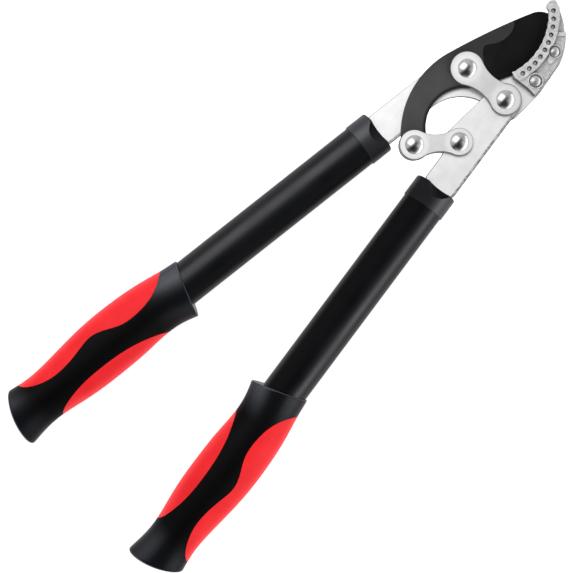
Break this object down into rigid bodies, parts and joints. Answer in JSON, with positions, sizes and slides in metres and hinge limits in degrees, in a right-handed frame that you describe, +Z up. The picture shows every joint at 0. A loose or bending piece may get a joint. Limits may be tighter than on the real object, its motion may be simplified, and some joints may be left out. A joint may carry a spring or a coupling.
{
  "type": "pruning lopper",
  "caption": "Two-handed bypass lopper with a black crescent blade, a dimpled cast hook jaw, a link-driven joint and red and black grips, lying closed on its side.",
  "frame": {"origin": "centre of the lowest level of the whole closed tool, lying flat on its side", "axes": "+X along the middle line between the handles, towards the jaws; +Y towards the hook lever's handle; +Z up, towards the domed rivet heads on the front of the tool"},
  "size_m": [0.4962, 0.1796, 0.0353],
  "materials": {
    "satin_steel": "satin plated flat steel bar",
    "plated_steel": "stamped plate, fine satin",
    "cast_jaw_metal": "cast jaw, bright plated",
    "bright_rivet": "polished domed rivet head",
    "washer_steel": "plain thin washer",
    "pin_steel": "plain steel pin",
    "coated_blade": "dark non-stick coating, ground face darker",
    "black_tube": "satin black powder coat",
    "ferrule_plastic": "moulded charcoal plastic",
    "insert_plastic": "plain moulded plastic",
    "black_rubber": "soft black grip",
    "red_rubber": "soft red grip panel"
  },
  "bodies": {
    "hook_lever": {"hook_arm": "satin_steel", "hook_jaw": "cast_jaw_metal", "hook_jaw_rivets": "bright_rivet", "front_strap": "plated_steel", "main_pivot_rivet": "bright_rivet", "main_pivot_washers": "washer_steel", "blade_pivot_rivet": "bright_rivet", "blade_pivot_washers": "washer_steel", "hook_ferrule": "ferrule_plastic", "hook_tube": "black_tube", "hook_tang_insert": "insert_plastic", "hook_tang_pins": "pin_steel", "hook_grip": "black_rubber", "hook_grip_panels": "red_rubber"},
    "drive_lever": {"drive_arm": "satin_steel", "drive_ferrule": "ferrule_plastic", "drive_tube": "black_tube", "drive_tang_insert": "insert_plastic", "drive_tang_pins": "pin_steel", "drive_grip": "black_rubber", "drive_grip_panels": "red_rubber"},
    "blade": {"blade": "coated_blade"},
    "links": {"front_link": "plated_steel", "rear_link": "plated_steel", "tail_rivet": "bright_rivet", "tail_washers": "washer_steel", "link_rivet": "bright_rivet", "link_washers": "washer_steel"}
  },
  "joints": [
    {"name": "handle_hinge", "type": "hinge", "parent": "hook_lever", "child": "drive_lever", "pos_m": [0.17231, -0.01997, 0.02017], "axis": [0, 0, 1], "range_deg": [0, 60]},
    {"name": "blade_hinge", "type": "hinge", "parent": "hook_lever", "child": "blade", "pos_m": [0.16931, 0.01523, 0.02017], "axis": [0, 0, 1], "range_deg": [-1, 40]},
    {"name": "link_hinge", "type": "hinge", "parent": "blade", "child": "links", "pos_m": [0.10381, 0.00423, 0.02017], "axis": [0, 0, 1], "range_deg": [-46, 1]}
  ],
  "couplings": [
    {"joint": "blade_hinge", "follows": "handle_hinge", "ratio": 0.64},
    {"joint": "link_hinge", "follows": "handle_hinge", "ratio": -0.739}
  ]
}
